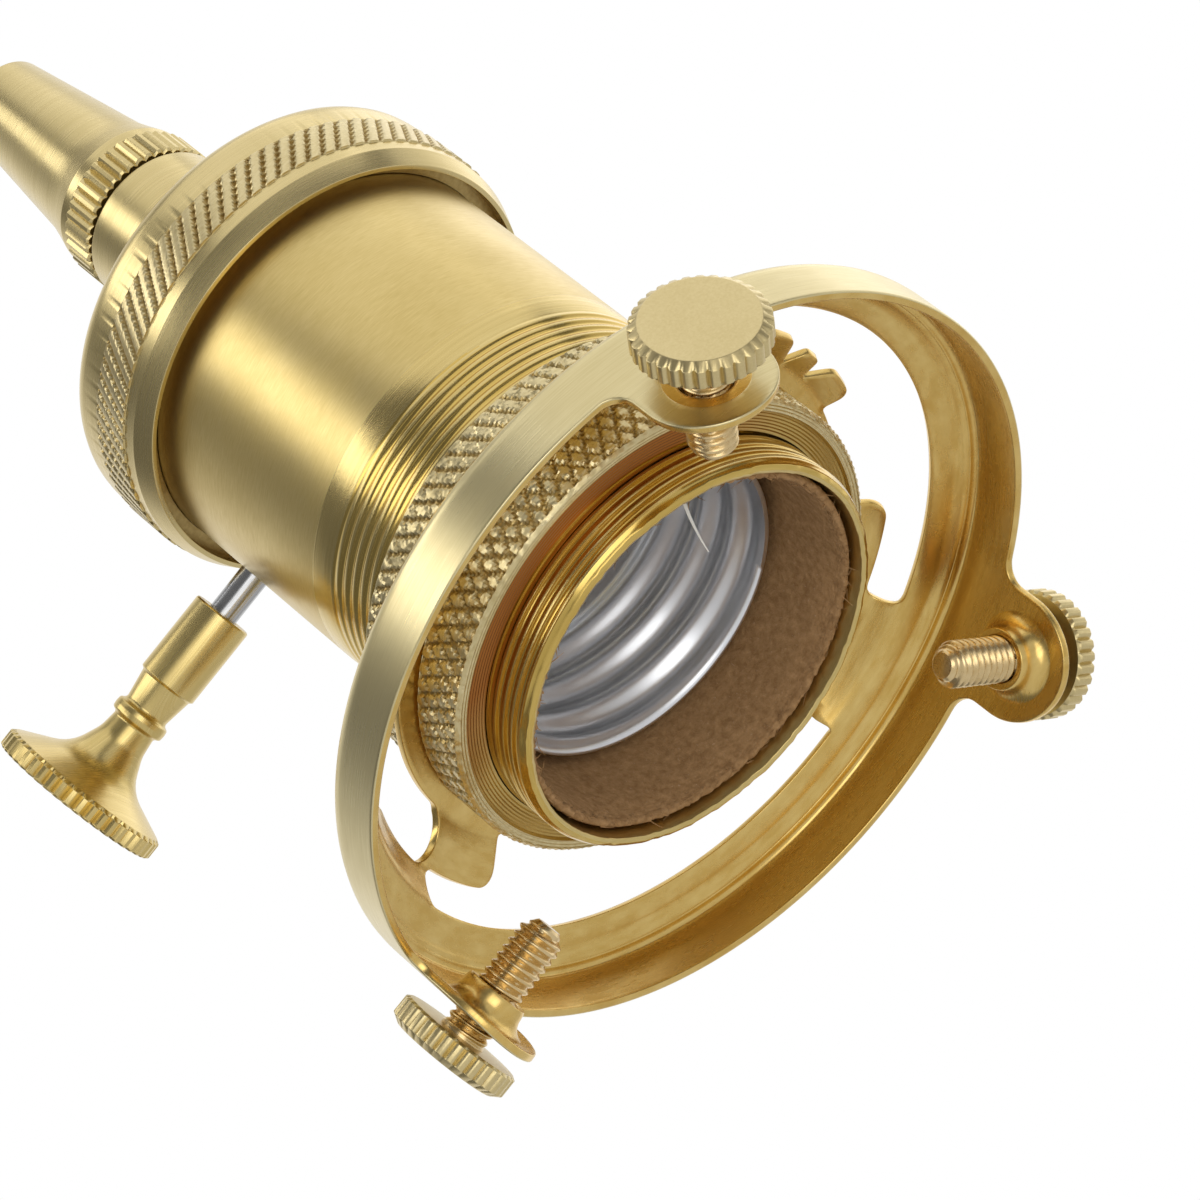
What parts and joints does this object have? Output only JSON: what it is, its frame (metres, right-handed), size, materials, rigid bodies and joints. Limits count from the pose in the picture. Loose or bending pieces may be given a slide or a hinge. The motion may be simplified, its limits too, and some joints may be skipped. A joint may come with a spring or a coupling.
{
  "type": "lamp holder",
  "caption": "Brass lamp holder with a turn switch knob, knurled shade rings, a three-screw shade gallery and a conical cord grip.",
  "frame": {"origin": "on the lamp axis, in the plane of the outer shell's open mouth", "axes": "+Z along the lamp axis from the mouth towards the cord entry; -X along the switch knob; the first and second shade screws lie at -60 and +60 degrees from +X about +Z, the third at 180 degrees"},
  "size_m": [0.0719, 0.0674, 0.1036],
  "materials": {
    "brass_shell": "brushed round the tube",
    "brass_turned": "fine turned, satin lacquered",
    "brass_knurled": "diamond knurled edge, turned faces",
    "brass_pressed": "pressed sheet, brushed satin",
    "brass_screw": "turned, straight serrated head",
    "brass_rivet": "bright",
    "terminal_brass": "plain machined",
    "contact_bronze": "plain rolled strip",
    "aluminium_thread": "bright rolled",
    "cardboard": "pressed board, fuzzy cut edge",
    "ceramic": "glazed white ceramic",
    "screw_steel": "zinc plated",
    "spindle_steel": "drawn rod",
    "nipple_steel": "zinc plated thread",
    "fibre_board": "vulcanised fibre",
    "moulded_cam": "moulded",
    "nylon": "moulded, slightly translucent"
  },
  "bodies": {
    "holder": {"outer_shell": "brass_shell", "liner": "cardboard", "screw_shell": "aluminium_thread", "shell_rivets": "brass_rivet", "socket_base": "ceramic", "centre_contact": "contact_bronze", "contact_rivet": "brass_rivet", "line_terminal": "terminal_brass", "neutral_terminal": "terminal_brass", "terminal_screws": "screw_steel", "switch_cover": "fibre_board", "switch_spring": "contact_bronze", "cap": "brass_turned", "nipple": "nipple_steel", "lock_nut": "nipple_steel", "gallery": "brass_pressed"},
    "switch": {"knob": "brass_turned", "spindle": "spindle_steel", "switch_cam": "moulded_cam"},
    "grip": {"cord_grip": "brass_turned", "grip_collet": "nylon"},
    "lower_ring": {"lower_shade_ring": "brass_knurled"},
    "upper_ring": {"upper_shade_ring": "brass_knurled"},
    "screw_1": {"thumb_screw_1": "brass_screw"},
    "screw_2": {"thumb_screw_2": "brass_screw"},
    "screw_3": {"thumb_screw_3": "brass_screw"}
  },
  "joints": [
    {"name": "switch_turn", "type": "hinge", "parent": "holder", "child": "switch", "pos_m": [0, 0, 0.0394], "axis": [-1, 0, 0], "continuous": true},
    {"name": "lower_ring_travel", "type": "slide", "parent": "holder", "child": "lower_ring", "axis": [0, 0, -1], "range_m": [0, 0.004]},
    {"name": "upper_ring_travel", "type": "slide", "parent": "holder", "child": "upper_ring", "axis": [0, 0, 1], "range_m": [0, 0.0075]},
    {"name": "screw_1_travel", "type": "slide", "parent": "holder", "child": "screw_1", "axis": [0.5, -0.866, 0], "range_m": [-0.003, 0.006]},
    {"name": "screw_2_travel", "type": "slide", "parent": "holder", "child": "screw_2", "axis": [0.5, 0.866, 0], "range_m": [-0.001, 0.006]},
    {"name": "screw_3_travel", "type": "slide", "parent": "holder", "child": "screw_3", "axis": [-1, 0, 0], "range_m": [-0.0014, 0.006]},
    {"name": "grip_travel", "type": "slide", "parent": "holder", "child": "grip", "axis": [0, 0, 1], "range_m": [0, 0.003]}
  ]
}
